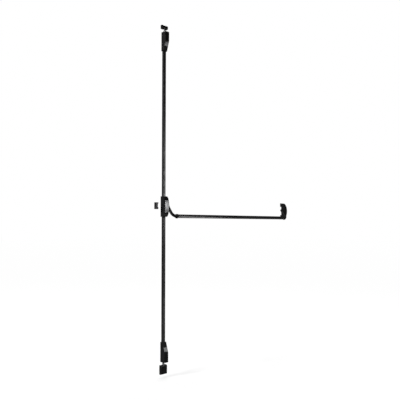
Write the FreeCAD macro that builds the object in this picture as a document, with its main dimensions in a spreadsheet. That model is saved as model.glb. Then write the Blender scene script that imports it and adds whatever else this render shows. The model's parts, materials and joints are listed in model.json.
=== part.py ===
import FreeCAD, Part
import math
import os
import re
import Sketcher

# Three-point panic bar for a door leaf: a centre case with a side latch, two rods in covers,
# bolt cases at the top and the bottom, three strikes, and a push bar on two elbow arms.
# +X runs along the bar from the lock side to the hinge side, -Y faces the user, +Z is up.
# The origin is the middle of the centre case, on the door's face.

SIZES = {
    # Centre case
    "case_width": 33, "case_height": 126, "case_depth": 43, "case_end_depth": 19.6,
    "cover_wall": 2, "insert_low_inset": 27, "insert_high_inset": 25, "insert_rim": 1.9,
    "insert_thick": 1.2, "insert_proud": 0.4,
    # Passive case, at the hinge side
    "passive_x": 1192, "passive_z": -6, "passive_width": 31, "passive_height": 120,
    "passive_depth": 43, "passive_end_depth": 9, "passive_wall_half": 12, "passive_screw_z": 8,
    "passive_fixing_z": 46, "passive_near_wall": 3, "notch_depth": 13, "notch_low": 30,
    "notch_high": 34,
    # Bolt cases at the rod ends, measured outward from the middle of the centre case
    "top_start": 968, "bottom_start": 822, "bolt_case_height": 119, "bolt_case_width": 30,
    "bolt_case_depth": 39.4, "bolt_case_end_depth": 19.5, "slope_length": 62,
    "bolt_insert_low": 30, "bolt_insert_high": 53.5, "bolt_case_round": 1,
    # Rods and their covers
    "rod_cover_width": 16.6, "rod_cover_depth": 18, "rod_cover_wall": 1.5, "cover_lap": 2,
    "rod_axis": 11, "rod_radius": 4, "bolt_radius": 6.5, "bolt_tip_radius": 4.5, "bolt_length": 60,
    "guide_height": 14, "guide_foot": 18, "foot_thick": 2.4, "coupling_radius": 5,
    "coupling_ahead": 9, "coupling_length": 22, "tongue_length": 8, "tongue_width": 6,
    "tongue_thick": 4, "rod_entry": 12, "tip_length": 2.5, "bolt_block_half": 9,
    "bolt_block": 20, "seat_height": 10, "bolt_spring": 28, "bolt_spring_radius": 5.5,
    # Strikes
    "top_strike_gap": 21, "top_strike_height": 23, "top_strike_width": 43,
    "bottom_strike_gap": 19, "bottom_strike_height": 54, "bottom_strike_width": 45,
    "strike_depth": 20, "strike_round": 7, "bolt_entry": 8.5, "pocket_extra": 8,
    "side_strike_x": -56.2, "side_strike_z": 4, "side_strike_width": 20.5,
    "side_strike_height": 41, "side_strike_depth": 15, "side_strike_round": 3,
    "keep_height": 22, "keep_width": 12, "keep_floor": 9, "wear_plate": 1,
    # Push bar and arms
    "pivot_depth": 32, "bar_depth": 67, "bar_drop": 59.3, "bar_half_depth": 13.2,
    "bar_half_height": 11.4, "bar_wall": 1.5, "bar_swing": 30, "arm_radius": 9, "arm_back": 20,
    "bend_radius": 28, "flare": 8, "flare_root": 7.5, "flare_mouth": 12.8, "hub_radius": 7.5,
    "hub_length": 6.5, "side_gap": 0.5, "socket_wall": 2.2, "socket_reach": 8, "shaft_radius": 4,
    "bush_radius": 5.8, "grub_radius": 2,
    # Mechanism
    "web": 3, "chassis_wall": 2, "wall_half_height": 20, "slider_back": 6.1,
    "slider_front": 14.1, "slider_inset": 11, "slider_rim": 2, "guide_plate": 2,
    "lever_radius": 21.5, "lever_thick": 5, "nose_radius": 3.5,
    "lever_hub": 7.5, "pinion_inset": 31.5, "gear_module": 1, "pinion_teeth": 12,
    "pressure_angle": 25, "tooth_height": 0.8, "tooth_root": 1, "backlash": 0.2,
    "stud_radius": 2.5, "tab_inset": 7.8, "tab_height": 5, "spring_wire": 1.4,
    "pad_half_width": 4, "pad_length": 30, "pad_inset": 4, "tab_pad_reach": 6,
    "foot_inner": 6, "foot_height": 3, "slot_wall": 3, "slot_edge": 0.7, "rack_reach": 6.5,
    "lever_root": 5, "lever_tip": 2,
    # Side latch
    "latch_z": 5.5, "latch_height": 13, "latch_thick": 8, "housing_clear": 1,
    "latch_pin_inset": 2.7, "latch_pin_radius": 2, "latch_tail": 3.8, "spring_bore": 1.9,
    "spring_bore_rise": 4, "latch_wall": 1.4, "latch_lid": 1, "latch_bore": 9,
    # Fits and fasteners
    "gap": 0.3, "slide_gap": 0.2, "running": 0.05, "spring_play": 0.1, "fixing_radius": 2.6,
    "fixing_x": 8, "fixing_inset": 19, "screw_radius": 1.5, "screw_head": 2.8, "cover_screw_z": 16,
    "cover_screw_length": 3.9, "cover_screw_head": 1.2, "guide_screw": 1.25,
    "guide_screw_cap": 2.1, "guide_screw_length": 6, "guide_hole": 2.2,
    "case_screw_inset": 10, "case_screw_depth": 24,
    "end_hole_near": 28, "end_hole_far": 78, "strike_hole_x": 14, "side_hole_z": 13,
}

doc = FreeCAD.newDocument("panic_bar")
sheet = doc.addObject("Spreadsheet::Sheet", "Sizes")
for row, (word, size) in enumerate(SIZES.items(), start=1):
    sheet.set(f"A{row}", word)
    sheet.set(f"B{row}", str(size))
    sheet.setAlias(f"B{row}", word)
doc.recompute()

NODES = {}

# Worked-out sizes, as formulas of the sheet's words
CASE_HALF = "case_height / 2"
BAR_OUT = "(bar_depth - arm_back)"
ARM_LENGTH = f"sqrt({BAR_OUT} ^ 2 + bar_drop ^ 2)"
ARM_ANGLE = f"atan(bar_drop / {BAR_OUT})"
TRAVEL = "(2 * lever_radius * sin(bar_swing / 2))"
PITCH_RADIUS = "(gear_module * pinion_teeth / 2)"
NOSE_Y = "(lever_radius * cos(bar_swing / 2) - pivot_depth)"
NOSE_Z = "(-lever_radius * sin(bar_swing / 2))"
CHASSIS_HALF = "(case_width / 2 - cover_wall - slide_gap)"
SLIDER_HALF = f"({CHASSIS_HALF} - chassis_wall - gap)"
SLIDER_BOTTOM = f"({CASE_HALF} - slider_inset)"
TAB_HIGH = f"({CASE_HALF} - tab_inset)"
TAB_LOW = f"({TAB_HIGH} - tab_height)"
PINION_Z = f"({CASE_HALF} - pinion_inset)"
COUPLING_START = f"({CASE_HALF} + coupling_ahead)"
ARM_PLANE = "(case_width / 2 + side_gap + arm_radius)"
PLATE_FRONT = "(slider_front + gap + guide_plate)"
WALL_FRONT = "(pivot_depth + bush_radius + 1)"
PASSIVE_PLANE = "(passive_x - passive_width / 2 - side_gap - arm_radius)"
PASSIVE_CHASSIS_HALF = "(passive_width / 2 - cover_wall - slide_gap)"
LATCH_BACK = "(slider_front + 2 * gap + guide_plate + 0.1)"
LEVER_INNER = f"({SLIDER_HALF} - lever_thick - slider_rim)"
LATCH_PIN_X = f"(latch_pin_inset - {SLIDER_HALF})"
LATCH_TRAVEL = f"({LEVER_INNER} - housing_clear - latch_wall - gap - latch_tail - {LATCH_PIN_X})"
STEP_X = f"({LATCH_PIN_X} + {LATCH_TRAVEL} + latch_pin_radius + slot_edge)"
BOLT_WAY = "bolt_radius + 2 * gap"
LEVER_MIDDLE = f"{LEVER_INNER} + lever_thick / 2"

# Places across an axis: of the shaft along X, the rods along Z, the lever's pin and the bar
SHAFT = ("-pivot_depth", "0")
ROD = ("0", "-rod_axis")
LEVER_PIN = (LEVER_MIDDLE, "-pivot_depth")
BAR = ("-bar_depth", "-bar_drop")
RETURN_SPRING = ("shaft_radius + gap + spring_wire", "shaft_radius + gap")
LEVER_WAY = (f"{LEVER_INNER} - 2 * gap", f"{LEVER_INNER} + lever_thick + 2 * gap")


def full(text):
    """Put the sheet's name before each of its words."""
    return re.sub(r"[a-z_]+", lambda m: "Sizes." + m.group(0) if m.group(0) in SIZES else m.group(0), text)


def value(text):
    """The number that a formula of the sheet's words gives."""
    answer = sheet.evalExpression(full(text))
    return float(getattr(answer, "Value", answer))


def bind(item, prop, text):
    item.setExpression(prop, full(text))


def both(half):
    """A range that is the same on both sides of zero."""
    return f"-({half})", half


def about(middle, half):
    return f"({middle}) - ({half})", f"({middle}) + ({half})"


def depth(back, front):
    """A range in Y from two depths in front of the door's face."""
    return f"-({front})", f"-({back})"


def outward(side, near, far):
    """A range in Z from two distances above (side 1) or below (side -1) the centre."""
    return (near, far) if side > 0 else (f"-({far})", f"-({near})")


def node(name, item):
    """Keep a finished piece under its own name."""
    item.Label = name
    NODES[name] = item
    return item


def place(item, x, y, z):
    for axis, text in zip("xyz", (x, y, z)):
        bind(item, f"Placement.Base.{axis}", text)


def box(x, y, z):
    item = doc.addObject("Part::Box", "block")
    for side, (low, high) in zip(("Length", "Width", "Height"), (x, y, z)):
        bind(item, side, f"({high}) - ({low})")
    place(item, x[0], y[0], z[0])
    return item


TURNS = {
    "x": FreeCAD.Rotation(FreeCAD.Vector(0, 1, 0), 90),
    "y": FreeCAD.Rotation(FreeCAD.Vector(1, 0, 0), -90),
    "z": FreeCAD.Rotation(),
}


def at_axis(axis, start, middle):
    """Where a turned piece starts: along its own axis, at the two other places."""
    first, second = middle
    return {"x": (start, first, second), "y": (first, start, second), "z": (first, second, start)}[axis]


def bar(axis, radius, ends, middle):
    """A round bar along an axis, from one end to the other."""
    item = doc.addObject("Part::Cylinder", "bar")
    item.Placement = FreeCAD.Placement(FreeCAD.Vector(), TURNS[axis])
    bind(item, "Radius", radius)
    bind(item, "Height", f"({ends[1]}) - ({ends[0]})")
    place(item, *at_axis(axis, ends[0], middle))
    return item


def taper(axis, first, second, ends, middle):
    """A cone along an axis, with one radius at each end."""
    item = doc.addObject("Part::Cone", "taper")
    item.Placement = FreeCAD.Placement(FreeCAD.Vector(), TURNS[axis])
    bind(item, "Radius1", first)
    bind(item, "Radius2", second)
    bind(item, "Height", f"({ends[1]}) - ({ends[0]})")
    place(item, *at_axis(axis, ends[0], middle))
    return item


def hexagon(axis, radius, ends, middle):
    """A six-sided bar, for a key's socket."""
    item = doc.addObject("Part::Prism", "hexagon")
    item.Placement = FreeCAD.Placement(FreeCAD.Vector(), TURNS[axis])
    item.Polygon = 6
    bind(item, "Circumradius", radius)
    bind(item, "Height", f"({ends[1]}) - ({ends[0]})")
    place(item, *at_axis(axis, ends[0], middle))
    return item


def join(*parts):
    item = doc.addObject("Part::MultiFuse", "joined")
    item.Shapes = list(parts)
    return item


def group(*parts):
    item = doc.addObject("Part::Compound", "group")
    item.Links = list(parts)
    return item


def cut(base, *tools):
    item = doc.addObject("Part::Cut", "cut")
    item.Base = base
    item.Tool = tools[0] if len(tools) == 1 else join(*tools)
    return item


def shared(first, second):
    item = doc.addObject("Part::Common", "shared")
    item.Base = first
    item.Tool = second
    return item


# An oval lies in the YZ plane and runs along X: its long axis is along Y or along Z
X, Y, Z = FreeCAD.Vector(1, 0, 0), FreeCAD.Vector(0, 1, 0), FreeCAD.Vector(0, 0, 1)
LONG_AXIS = {"y": FreeCAD.Rotation(Y, Z, X, "ZXY"), "z": FreeCAD.Rotation(Z, -Y, X, "ZXY")}


def oval(long_axis, long_radius, short_radius, ends, middle):
    ring = doc.addObject("Part::Ellipse", "oval")
    ring.Placement = FreeCAD.Placement(FreeCAD.Vector(), LONG_AXIS[long_axis])
    bind(ring, "MajorRadius", long_radius)
    bind(ring, "MinorRadius", short_radius)
    place(ring, ends[0], *middle)
    item = doc.addObject("Part::Extrusion", "oval_bar")
    item.Base = ring
    item.DirMode = "Custom"
    item.Dir = FreeCAD.Vector(1, 0, 0)
    item.Solid = True
    bind(item, "LengthFwd", f"({ends[1]}) - ({ends[0]})")
    return item


TINY = 0.001
PLANES = {"XY": "XY_Plane", "XZ": "XZ_Plane", "YZ": "YZ_Plane"}


def origin_plane(body, plane):
    return next(item for item in body.Origin.OriginFeatures if item.Role == PLANES[plane])


def outline(body, plane, points):
    """A closed outline with each corner held at its own two distances from the origin."""
    sketch = body.newObject("Sketcher::SketchObject", "outline")
    sketch.AttachmentSupport = [(origin_plane(body, plane), "")]
    sketch.MapMode = "FlatFace"
    corners = [FreeCAD.Vector(value(a), value(b), 0) for a, b in points]
    for index, corner in enumerate(corners):
        sketch.addGeometry(Part.LineSegment(corner, corners[(index + 1) % len(corners)]), False)
    for index in range(len(corners)):
        sketch.addConstraint(Sketcher.Constraint("Coincident", index, 2, (index + 1) % len(corners), 1))
    for index, (corner, texts) in enumerate(zip(corners, points)):
        for kind, size, text in (("DistanceX", corner.x, texts[0]), ("DistanceY", corner.y, texts[1])):
            held = sketch.addConstraint(Sketcher.Constraint(kind, -1, 1, index, 1, size))
            bind(sketch, f"Constraints[{held}]", text)
    return sketch


def plate(name, plane, points, ends):
    """An outline padded between two places along the third axis."""
    body = doc.addObject("PartDesign::Body", name)
    sketch = outline(body, plane, points)
    start = f"-({ends[1]})" if plane == "XZ" else ends[0]
    bind(sketch, "AttachmentOffset.Base.z", start)
    pad = body.newObject("PartDesign::Pad", "pad")
    pad.Profile = sketch
    bind(pad, "Length", f"({ends[1]}) - ({ends[0]})")
    body.Tip = pad
    return body


def rounded_front(x, front, z, radius):
    """A block on the door's face whose two long front edges are rounded."""
    core = box(x, depth("0", f"({front}) - ({radius})"), z)
    face = box(x, depth("0", front), (f"({z[0]}) + ({radius})", f"({z[1]}) - ({radius})"))
    low = bar("x", radius, x, (f"-(({front}) - ({radius}))", f"({z[0]}) + ({radius})"))
    high = bar("x", radius, x, (f"-(({front}) - ({radius}))", f"({z[1]}) - ({radius})"))
    return join(core, face, low, high)


def key_screw(axis, tip, middle, shank, head, length, head_height, heading=1):
    """A cap screw: its tip's place, and which way along the axis its head points."""
    def along(near, far):
        ends = (f"({tip}) + ({near})", f"({tip}) + ({far})")
        return ends if heading > 0 else (f"({tip}) - ({far})", f"({tip}) - ({near})")
    top = f"({length}) + ({head_height})"
    body = bar(axis, shank, along("0", length), middle)
    cap = bar(axis, head, along(length, top), middle)
    socket_ends = along(f"{length} + ({head_height}) * 0.4", f"{top} + 1")
    socket = hexagon(axis, f"({head}) * 0.5", socket_ends, middle)
    return cut(join(body, cap), socket)


def grub(axis, ends, middle):
    """A grub screw with its key socket at the lower end."""
    socket_top = f"({ends[0]}) * 0.4 + ({ends[1]}) * 0.6"
    socket = hexagon(axis, "grub_radius * 0.6", (f"({ends[0]}) - 1", socket_top), middle)
    return cut(bar(axis, "grub_radius - running", ends, middle), socket)


def sleeve(axis, outer, inner, ends, middle):
    """A round sleeve, open at both ends."""
    bore = bar(axis, inner, (f"({ends[0]}) - 1", f"({ends[1]}) + 1"), middle)
    return cut(bar(axis, outer, ends, middle), bore)


# Domed case shell: straight sides near the door, then an oval front
def dome(half_width, half_height, straight, front, x="0", z="0"):
    x_range = about(x, half_width)
    z_range = about(z, half_height)
    sides = box(x_range, depth("0", straight), z_range)
    nose = oval("z", half_height, f"({front}) - ({straight})", x_range, (f"-({straight})", z))
    ahead = box(x_range, depth(f"({straight}) / 2", f"({front}) + 1"), z_range)
    return join(sides, shared(nose, ahead))


def shell(width, height, straight, front, x="0", z="0"):
    outer = dome(f"{width} / 2", f"{height} / 2", straight, front, x, z)
    half_width, half_height = f"{width} / 2 - cover_wall", f"{height} / 2 - cover_wall"
    inner_sides = box(about(x, half_width), ("-1", "1"), about(z, half_height))
    inner = dome(half_width, half_height, straight, f"{front} - cover_wall", x, z)
    return cut(outer, join(inner, inner_sides))


def panel(shrink, thin_side, wide):
    """The curved front panel: the dome's outer skin between two heights."""
    half = f"case_width / 2 - insert_rim + ({wide})"
    skin = dome("case_width / 2", CASE_HALF, "case_end_depth", "case_depth + insert_proud")
    core = dome("case_width / 2 + 1", f"{CASE_HALF} - ({thin_side})", "case_end_depth",
                f"case_depth - ({thin_side})")
    window = box(both(half), depth("case_end_depth + 2", "case_depth + 5"),
                 (f"insert_low_inset - {CASE_HALF} - ({wide})",
                  f"{CASE_HALF} - insert_high_inset + ({wide})"))
    return shared(cut(skin, core), window)


def cover_screw(tip, middle):
    return key_screw("x", tip, middle, "screw_radius", "screw_head", "cover_screw_length",
                     "cover_screw_head")


def side_screws(middle, half_width, screw_z):
    """Two short screws that hold a case's cover to its chassis, from the hinge side."""
    tip = f"{middle} + {half_width} - cover_screw_length"
    return [cover_screw(tip, ("-rod_axis", z)) for z in (f"-{screw_z}", screw_z)]


def cover_screws():
    """The short side screws of all four covers, which are alike."""
    screws = side_screws("0", "case_width / 2", "cover_screw_z")
    screws += side_screws("passive_x", "passive_width / 2", "passive_screw_z")
    for end, side in (("top", 1), ("bottom", -1)):
        spot = ("-case_screw_depth", f"{side} * ({end}_start + bolt_case_height - case_screw_inset)")
        screws.append(cover_screw("bolt_case_width / 2 - cover_screw_length", spot))
    node("cover_screws", group(*screws))


def centre_case():
    cover = shell("case_width", "case_height", "case_end_depth", "case_depth")
    rod_way = box(both("rod_cover_width / 2 + gap"), depth("-1", "rod_cover_depth + gap"),
                  both(f"{CASE_HALF} + 1"))
    latch_way = box(("-case_width", "-case_width / 2 + cover_wall + 1"),
                    depth(f"{LATCH_BACK} - gap", f"{LATCH_BACK} + latch_thick + gap"),
                    about("latch_z", "latch_height / 2 + gap"))
    shaft_way = bar("x", "shaft_radius + 2", ("0", "case_width"), SHAFT)
    middle = box(both("case_width"), ("-case_depth", "2"), both(f"{CASE_HALF} - cover_wall - 1"))
    ends = cut(rod_way, middle)
    screw_ways = [bar("x", "screw_radius + gap", ("0", "case_width"), ("-rod_axis", z))
                  for z in ("-cover_screw_z", "cover_screw_z")]
    opened = cut(cover, ends, latch_way, shaft_way, *screw_ways)
    node("centre_cover", cut(opened, panel("0", "insert_thick", "slide_gap / 2")))
    node("centre_insert", panel("0", "insert_thick - slide_gap / 2", "0"))


def walls(middle, near, half):
    """The two ranges in X of a chassis's side walls, on the lock side and on the hinge side."""
    return ((f"{middle} - {near}", f"{middle} - {near} + chassis_wall"),
            (f"{middle} + {half} - chassis_wall", f"{middle} + {half}"))


def channel(middle, near, half, z_range, wall_half, screw_z, holes):
    """A case's chassis: a web on the door and two side walls that carry the shaft's bushes."""
    back = box(about(middle, half), depth("0", "web"), z_range)
    left, right = [box(wall, depth("web / 2", WALL_FRONT), both(wall_half))
                   for wall in walls(middle, near, half)]
    bush_way = bar("x", "bush_radius", about(middle, f"{half} + 1"), SHAFT)
    ways = [bar("x", "screw_radius", (middle, f"{middle} + case_width"), ("-rod_axis", z))
            for z in (f"-{screw_z}", screw_z)]
    fixing_ways = [bar("y", "fixing_radius", depth("-1", "web + 1"), hole) for hole in holes]
    return cut(join(back, left, right), bush_way, *ways, *fixing_ways)


def bushes(middle, near, half):
    """A pair of shaft bushes, one in each side wall."""
    return group(*[sleeve("x", "bush_radius", "shaft_radius + running", wall, SHAFT)
                   for wall in walls(middle, near, half)])


def centre_chassis():
    holes = [(x, z) for x in ("-fixing_x", "fixing_x") for z in both(f"{CASE_HALF} - fixing_inset")]
    frame = channel("0", CHASSIS_HALF, CHASSIS_HALF, both(f"{CASE_HALF} - cover_wall - slide_gap"),
                    "wall_half_height", "cover_screw_z", holes)
    latch_way = box(("-case_width / 2", "0"),
                    depth(f"{LATCH_BACK} - slide_gap", f"{LATCH_BACK} + latch_thick + slide_gap"),
                    about("latch_z", "latch_height / 2 + slide_gap"))
    stud_way = bar("y", "stud_radius", depth("-1", "web + 1"), ("0", PINION_Z))
    node("centre_chassis", cut(frame, latch_way, stud_way))
    node("centre_bushes", bushes("0", CHASSIS_HALF, CHASSIS_HALF))
    under = depth("web", "slider_back - slide_gap")
    pad_low = f"pad_inset - {SLIDER_BOTTOM}"
    lower = box(both("pad_half_width"), under, (pad_low, f"{pad_low} + pad_length"))
    upper = box(both("pad_half_width"), under, (f"{TAB_LOW} - tab_pad_reach", f"{TAB_HIGH} - 1"))
    node("slider_wear_strips", group(lower, upper))
    stud = bar("y", "stud_radius", depth("0", PLATE_FRONT), ("0", PINION_Z))
    node("pinion_stud", stud)
    spring_ends = (f"-{CHASSIS_HALF} + chassis_wall + gap", f"{LEVER_INNER} - gap")
    node("centre_return_spring", sleeve("x", *RETURN_SPRING, spring_ends, SHAFT))


def slider_guide():
    """The plate in front of the sliders, on four feet, with a way for each thing that passes it."""
    end = f"({CASE_HALF} - cover_wall - 1)"
    front = box(both(SLIDER_HALF), depth("slider_front + gap", PLATE_FRONT), both(end))
    feet = []
    for x in ((f"-{SLIDER_HALF}", "-foot_inner"), ("foot_inner", SLIDER_HALF)):
        for z in ((f"-{end}", f"-{end} + foot_height"), (f"{end} - foot_height", end)):
            feet.append(box(x, depth("web", "slider_front + gap + guide_plate / 2"), z))
    nose_way = box(LEVER_WAY, depth("slider_front", "case_depth"),
                   both("lever_radius * sin(bar_swing / 2) + nose_radius + 1"))
    pin_way = box((f"{LATCH_PIN_X} - latch_pin_radius - gap",
                   f"{LATCH_PIN_X} + {LATCH_TRAVEL} + latch_pin_radius + gap"),
                  depth("slider_front", "case_depth"), about("latch_z", "latch_pin_radius + gap"))
    stud_way = bar("y", "stud_radius", depth("slider_front", "case_depth"), ("0", PINION_Z))
    foot_x = f"(foot_inner + {SLIDER_HALF}) / 2"
    corners = [(x, z) for x in (f"-{foot_x}", foot_x)
               for z in (f"-{end} + foot_height / 2", f"{end} - foot_height / 2")]
    screw_ways = [bar("y", "guide_screw", depth("web", "case_depth"), corner) for corner in corners]
    node("slider_guide", cut(join(front, *feet), nose_way, pin_way, stud_way, *screw_ways))
    tip = f"-{PLATE_FRONT} + guide_screw_length"
    screws = [key_screw("y", tip, corner, "guide_screw", "guide_screw_cap", "guide_screw_length",
                        "guide_screw", heading=-1) for corner in corners]
    node("guide_screws", group(*screws))


def side_latch():
    back = f"-{LATCH_BACK}"
    front = f"-({LATCH_BACK} + latch_thick)"
    z = about("latch_z", "latch_height / 2")
    tip = f"(-case_width / 2 - {LATCH_TRAVEL} + gap)"
    tail = f"({LATCH_PIN_X} + latch_tail)"
    body = box((tip, tail), (front, back), z)
    bevel_points = [(f"{tip} - 1", f"{back} + 1"), (f"{tip} + latch_thick - 1", f"{back} + 1"),
                    (f"{tip} - 1", f"{front} + 1")]
    bevel = plate("latch_bevel", "XY", bevel_points, (f"{z[0]} - 1", f"{z[1]} + 1"))
    spring_middle = (f"{back} - latch_thick / 2", "latch_z + spring_bore_rise")
    bore_end = f"({LATCH_PIN_X} - latch_bore)"
    bore = bar("x", "spring_bore", (bore_end, f"{tail} + 1"), spring_middle)
    pin_front = f"{back} - latch_thick * 0.75"
    pin_spot = (LATCH_PIN_X, "latch_z")
    pin_way = bar("y", "latch_pin_radius", (pin_front, f"{back} + 1"), pin_spot)
    node("latch_bolt", cut(body, bevel, bore, pin_way))
    node("latch_pin", bar("y", "latch_pin_radius", (pin_front, "-(slider_back + 0.5)"), pin_spot))
    stop = f"({tail} + {LATCH_TRAVEL} + gap)"
    left = f"(-{CHASSIS_HALF} + chassis_wall)"
    case_z = about("latch_z", "latch_height / 2 + slide_gap + latch_wall")
    outer = box((left, f"{stop} + latch_wall"),
                depth(PLATE_FRONT, f"{LATCH_BACK} + latch_thick + slide_gap + latch_lid"), case_z)
    inner = box((f"{left} - 1", stop), depth("0", f"{LATCH_BACK} + latch_thick + slide_gap"),
                about("latch_z", "latch_height / 2 + slide_gap"))
    node("latch_housing", cut(outer, inner))
    ends = (f"{bore_end} + spring_play", f"{stop} - spring_play")
    node("latch_spring", sleeve("x", "spring_bore - slide_gap", "spring_bore / 2", ends, spring_middle))


def rack(side, z_low, z_high):
    """The teeth's corners up one rack, on the given side of the pinion."""
    pitch = "(gear_module * pi)"
    lean = "tan(pressure_angle)"
    thick = f"({pitch} / 4 - backlash / 2)"
    middle = PITCH_RADIUS
    tip = f"({middle} - tooth_height)"
    root = f"({middle} + tooth_root)"
    first = math.ceil((value(z_low) - value(PINION_Z)) / value(pitch) - 0.5)
    last = math.floor((value(z_high) - value(PINION_Z)) / value(pitch) + 0.5)
    corners = []
    for count in range(first, last):
        centre = f"({PINION_Z} + {count + 0.5} * {pitch})"
        wide = f"({thick} + tooth_root * {lean})"
        narrow = f"({thick} - tooth_height * {lean})"
        for x, half in ((root, f"-{wide}"), (tip, f"-{narrow}"), (tip, narrow), (root, wide)):
            corners.append((f"{side} * {x}", f"{centre} + {half}"))
    return corners


def lower_parts():
    root = f"({PITCH_RADIUS} + tooth_root)"
    arm_top = f"({PINION_Z} + rack_reach)"
    shoulder = "(latch_z + latch_pin_radius + slot_wall)"
    teeth = rack(-1, f"{shoulder} + 2 * slot_wall", f"{PINION_Z} + rack_reach - 1")
    window_top = f"({NOSE_Z} + nose_radius + running * 2)"
    left, bottom, step = f"-{SLIDER_HALF}", f"-{SLIDER_BOTTOM}", f"{window_top} + slot_wall"
    outline_points = [(left, bottom), (SLIDER_HALF, bottom), (SLIDER_HALF, step), (STEP_X, step),
                      (STEP_X, shoulder), (f"-{root}", shoulder)]
    outline_points += teeth
    outline_points += [(f"-{root}", arm_top), (left, arm_top)]
    body = plate("lower_block", "XZ", outline_points, depth("slider_back", "slider_front"))
    window = box(LEVER_WAY, ("-case_depth", "0"), about(NOSE_Z, "nose_radius + running * 2"))
    reach = "(latch_pin_radius + running * 2)"
    slot_ends = ((LATCH_PIN_X, "latch_z"), (f"{LATCH_PIN_X} + {LATCH_TRAVEL}", f"latch_z - {TRAVEL}"))
    ends = [bar("y", reach, ("-case_depth", "0"), middle) for middle in slot_ends]
    run = f"sqrt({LATCH_TRAVEL} ^ 2 + {TRAVEL} ^ 2)"
    side_x = f"({reach} * {TRAVEL} / {run})"
    side_z = f"({reach} * {LATCH_TRAVEL} / {run})"
    slot = plate("latch_slot", "XZ", [
        (f"{LATCH_PIN_X} - {side_x}", f"latch_z - {side_z}"),
        (f"{LATCH_PIN_X} + {LATCH_TRAVEL} - {side_x}", f"latch_z - {TRAVEL} - {side_z}"),
        (f"{LATCH_PIN_X} + {LATCH_TRAVEL} + {side_x}", f"latch_z - {TRAVEL} + {side_z}"),
        (f"{LATCH_PIN_X} + {side_x}", f"latch_z + {side_z}")], ("-case_depth", "0"))
    node("lower_slider", with_tongue(cut(body, window, slot, *ends), -1, SLIDER_BOTTOM))
    rod_set("lower", -1)


def upper_parts():
    root = f"({PITCH_RADIUS} + tooth_root)"
    arm_low = f"({PINION_Z} - rack_reach)"
    points = [(root, arm_low), (SLIDER_HALF, arm_low), (SLIDER_HALF, TAB_HIGH),
              ("-rod_radius", TAB_HIGH), ("-rod_radius", TAB_LOW), (root, TAB_LOW)]
    points += reversed(rack(1, f"{PINION_Z} - rack_reach + 1", f"{TAB_LOW} - gear_module * 3"))
    body = plate("upper_block", "XZ", points, depth("slider_back", "slider_front"))
    node("upper_slider", with_tongue(body, 1, TAB_HIGH))
    rod_set("upper", 1)


def with_tongue(body, side, start):
    """A slider with its flat tongue, which reaches into the rod's coupling."""
    tongue = box(both("tongue_width / 2"), about("-rod_axis", "tongue_thick / 2"),
                 outward(side, f"{start} - 2", f"{COUPLING_START} + tongue_length"))
    pin_spot = ("-rod_axis", f"{side} * ({COUPLING_START} + tongue_length / 2)")
    pin_way = bar("x", "screw_radius", both("case_width"), pin_spot)
    return cut(join(body, tongue), pin_way)


def strike_start(end):
    return f"({end}_start + bolt_case_height + {end}_strike_gap)"


def rod_set(name, side):
    """What one slider pulls: its coupling, the coupling's pin, the rod and the bolt."""
    end = "top" if side > 0 else "bottom"
    far = f"({COUPLING_START} + coupling_length)"
    tip = f"({strike_start(end)} + bolt_entry)"
    foot = f"({tip} - bolt_length)"
    body = bar("z", "coupling_radius", outward(side, COUPLING_START, far), ROD)
    fork = box(both("tongue_width / 2 + running"), about("-rod_axis", "tongue_thick / 2 + running"),
               outward(side, f"{COUPLING_START} - 1", f"{COUPLING_START} + tongue_length + gap"))
    rod_way = bar("z", "rod_radius", outward(side, f"{far} - rod_entry", f"{far} + 1"), ROD)
    pin_spot = ("-rod_axis", f"{side} * ({COUPLING_START} + tongue_length / 2)")
    pin_way = bar("x", "screw_radius", both("case_width"), pin_spot)
    node(f"{name}_coupling", cut(body, fork, rod_way, pin_way))
    node(f"{name}_coupling_pin", bar("x", "screw_radius", both("coupling_radius - slide_gap"), pin_spot))
    rod_ends = outward(side, f"{far} - rod_entry", f"{foot} + rod_entry")
    node(f"{name}_rod", bar("z", "rod_radius", rod_ends, ROD))
    stem = bar("z", "bolt_radius", outward(side, foot, f"{tip} - tip_length"), ROD)
    radii = ("bolt_radius", "bolt_tip_radius") if side > 0 else ("bolt_tip_radius", "bolt_radius")
    point = taper("z", *radii, outward(side, f"{tip} - tip_length", tip), ROD)
    socket = bar("z", "rod_radius", outward(side, f"{foot} - 1", f"{foot} + rod_entry"), ROD)
    node(f"{end}_bolt", cut(join(stem, point), socket))


def pinion():
    """The reversing pinion, with involute teeth, one of them pointing along +X."""
    teeth = int(value("pinion_teeth"))
    pitch_radius = value(PITCH_RADIUS)
    base_radius = pitch_radius * math.cos(math.radians(value("pressure_angle")))
    tip_radius = pitch_radius + value("tooth_height")
    root_radius = pitch_radius - value("tooth_root")
    half_at_pitch = (value("gear_module") * math.pi / 2 - value("backlash")) / 2 / pitch_radius

    def unwound(radius):
        turn = math.sqrt(max((radius / base_radius) ** 2 - 1, 0))
        return turn - math.atan(turn)

    steps = 5
    flank = [base_radius + (tip_radius - base_radius) * step / steps for step in range(steps + 1)]
    polar = [(root_radius, half_at_pitch + unwound(pitch_radius))]
    polar += [(radius, half_at_pitch + unwound(pitch_radius) - unwound(radius)) for radius in flank]
    tooth = [(radius, -angle) for radius, angle in polar]
    tooth += [(radius, angle) for radius, angle in reversed(polar)]
    corners = []
    for count in range(teeth):
        turn = 2 * math.pi * count / teeth
        corners += [FreeCAD.Vector(radius * math.cos(angle + turn), 0, radius * math.sin(angle + turn))
                    for radius, angle in tooth]
    back = value("slider_back + slide_gap")
    thick = value("slider_front - slider_back - 2 * slide_gap")
    blank = Part.Face(Part.makePolygon(corners + corners[:1])).extrude(FreeCAD.Vector(0, -thick, 0))
    bore = Part.makeCylinder(value("stud_radius + running"), thick + 2, Y, -Y)
    item = doc.addObject("Part::Feature", "reversing_pinion")
    item.Shape = blank.cut(bore)
    item.Placement = FreeCAD.Placement(FreeCAD.Vector(0, -back, value(PINION_Z)), FreeCAD.Rotation())
    node("reversing_pinion", item)


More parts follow.
